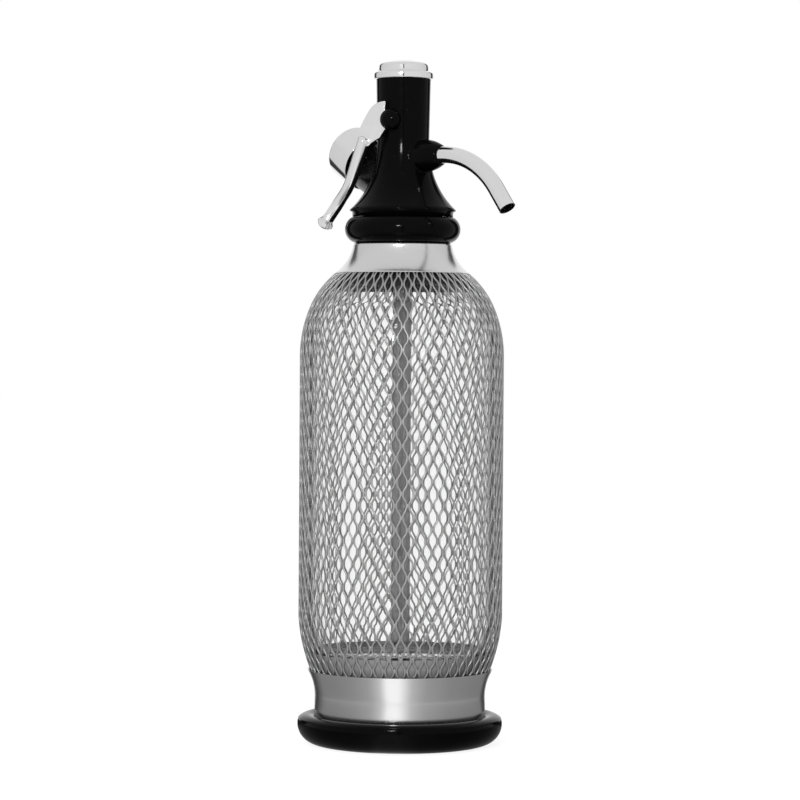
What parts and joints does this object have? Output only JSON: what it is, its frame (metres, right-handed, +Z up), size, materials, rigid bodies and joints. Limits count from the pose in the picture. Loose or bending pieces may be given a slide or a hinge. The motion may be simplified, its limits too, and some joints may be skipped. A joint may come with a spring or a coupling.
{
  "type": "soda siphon",
  "caption": "Tall wire-jacketed glass bottle with a black screw-on head, a bent bright spout, a side lever that opens a spring valve, and an angled capped charger port.",
  "frame": {"origin": "centre of the flat underside of the base ring, on the surface that the siphon stands on", "axes": "+Z up along the bottle's axis, +X towards the spout's open end"},
  "size_m": [0.1209, 0.1004, 0.3346],
  "materials": {
    "black_moulding": "polished black moulding",
    "polished_metal": "polished chrome plate",
    "bright_band": "polished plated band",
    "bright_wire": "drawn plated wire",
    "clear_glass": "thick clear bottle glass",
    "grey_tube": "extruded tube",
    "grey_cup": "moulded cup",
    "brass_part": "turned brass",
    "steel_part": "turned and ground steel",
    "rubber_part": "moulded rubber",
    "white_bush": "moulded nylon"
  },
  "bodies": {
    "bottle": {"base_ring": "black_moulding", "bottle_cup": "grey_cup", "base_band": "bright_band", "glass_bottle": "clear_glass", "shoulder_ring": "rubber_part", "wire_jacket": "bright_wire", "neck_collar": "bright_band", "neck_ring": "black_moulding"},
    "gasket": {"head_gasket": "rubber_part"},
    "head": {"head_body": "black_moulding", "tube_holder": "white_bush", "riser_tube": "grey_tube", "spout_tube": "polished_metal", "spout_seal": "rubber_part", "valve_seat": "brass_part", "gland_bush": "brass_part", "stem_seal": "rubber_part", "valve_spring": "steel_part", "charger_nipple": "brass_part", "piercing_needle": "steel_part", "charger_washer": "rubber_part", "near_pivot_screw": "black_moulding", "far_pivot_screw": "black_moulding"},
    "lever": {"lever": "polished_metal"},
    "valve": {"valve_stem": "steel_part", "stem_collar": "brass_part", "valve_disc": "rubber_part", "disc_nut": "brass_part"},
    "guide": {"stem_guide": "white_bush"},
    "top_cap": {"top_cap": "polished_metal"},
    "check_valve": {"check_disc": "rubber_part"},
    "cap_seal": {"cap_seal": "rubber_part"},
    "charger_cap": {"charger_cap": "polished_metal"}
  },
  "joints": [
    {"name": "head_lift", "type": "slide", "parent": "bottle", "child": "gasket", "axis": [0, 0, 1], "range_m": [0, 0.26]},
    {"name": "head_turn", "type": "hinge", "parent": "gasket", "child": "head", "pos_m": [0, 0, 0.26], "axis": [0, 0, 1], "range_deg": [0, 540]},
    {"name": "lever_press", "type": "hinge", "parent": "head", "child": "lever", "pos_m": [0, 0, 0.3046], "axis": [0.2924, -0.9563, 0], "range_deg": [0, 5], "stiffness_Nm_per_rad": 2, "springref_deg": -2.86},
    {"name": "valve_push", "type": "slide", "parent": "head", "child": "valve", "axis": [0, 0, -1], "range_m": [0, 0.000715], "deforming": ["valve_spring"]},
    {"name": "guide_rise", "type": "slide", "parent": "head", "child": "guide", "axis": [0, 0, 1], "range_m": [0, 0.007]},
    {"name": "top_cap_turn", "type": "hinge", "parent": "guide", "child": "top_cap", "pos_m": [0, 0, 0.325], "axis": [0, 0, 1], "range_deg": [0, 2521]},
    {"name": "check_lift", "type": "slide", "parent": "head", "child": "check_valve", "axis": [0.8772, -0.2187, -0.4274], "range_m": [0, 0.0008]},
    {"name": "seal_travel", "type": "slide", "parent": "head", "child": "cap_seal", "axis": [-0.8772, 0.2187, 0.4274], "range_m": [0, 0.009]},
    {"name": "charger_cap_turn", "type": "hinge", "parent": "cap_seal", "child": "charger_cap", "pos_m": [-0.03509, 0.00875, 0.28739], "axis": [-0.8772, 0.2187, 0.4274], "range_deg": [0, 2161]}
  ],
  "couplings": [
    {"joint": "lever_press", "follows": "valve_push", "rad_per_m": 121.95},
    {"joint": "top_cap_turn", "follows": "guide_rise", "rad_per_m": 6283.2},
    {"joint": "charger_cap_turn", "follows": "seal_travel", "rad_per_m": 4188.8}
  ]
}
